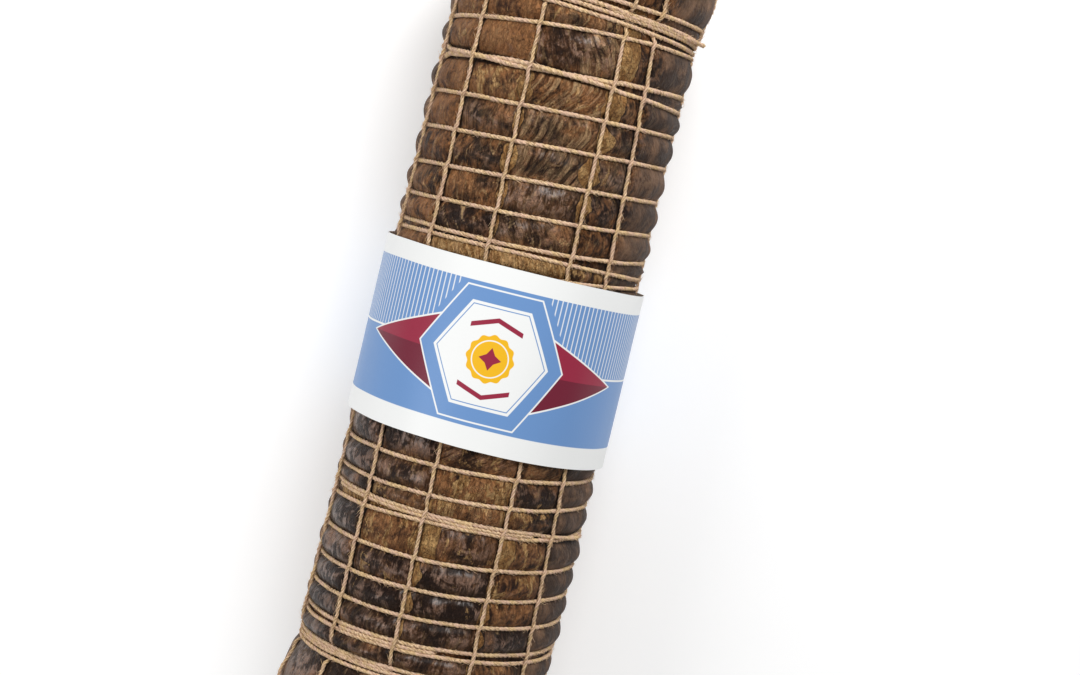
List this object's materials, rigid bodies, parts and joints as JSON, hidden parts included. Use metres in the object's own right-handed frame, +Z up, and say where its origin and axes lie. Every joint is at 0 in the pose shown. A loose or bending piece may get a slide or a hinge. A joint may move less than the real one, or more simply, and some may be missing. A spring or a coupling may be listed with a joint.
{
  "type": "rolled pancetta",
  "caption": "Whole cured pancetta roll in a dried dark casing, tied with hoops and lengthwise strings of hemp twine, with a plain blue paper band, lying on its side.",
  "frame": {"origin": "on the table under the middle of the roll, the centre of the bottom of the bounding box", "axes": "+X along the roll towards the end that is uppermost in the picture, +Z up out of the side that the picture shows"},
  "size_m": [0.438, 0.1402, 0.1349],
  "materials": {
    "casing": "dried natural casing, near-black brown with tan fibrous folds, half gloss",
    "twine": "three-strand hemp twine, cream tan, matt and slightly hairy",
    "label": "smooth printed paper, pale blue field between white edges"
  },
  "bodies": {
    "root": {"roll": "casing", "hoop_01": "twine", "hoop_02": "twine", "hoop_03": "twine", "hoop_04": "twine", "hoop_05": "twine", "hoop_06": "twine", "hoop_07": "twine", "hoop_08": "twine", "hoop_09": "twine", "hoop_10": "twine", "hoop_11": "twine", "hoop_12": "twine", "hoop_13": "twine", "hoop_14": "twine", "hoop_15": "twine", "hoop_16": "twine", "hoop_17": "twine", "hoop_18": "twine", "hoop_19": "twine", "hoop_20": "twine", "hoop_21": "twine", "hoop_22": "twine", "hoop_23": "twine", "hoop_24": "twine", "hoop_25": "twine", "hoop_26": "twine", "lengthwise_01": "twine", "lengthwise_02": "twine", "lengthwise_03": "twine", "lengthwise_04": "twine", "lengthwise_05": "twine", "lengthwise_06": "twine", "lengthwise_07": "twine", "lengthwise_08": "twine", "lengthwise_09": "twine", "lengthwise_10": "twine", "lengthwise_11": "twine", "lengthwise_12": "twine", "knot_tail": "twine", "knot_top": "twine", "paper_band": "label"}
  },
  "joints": []
}
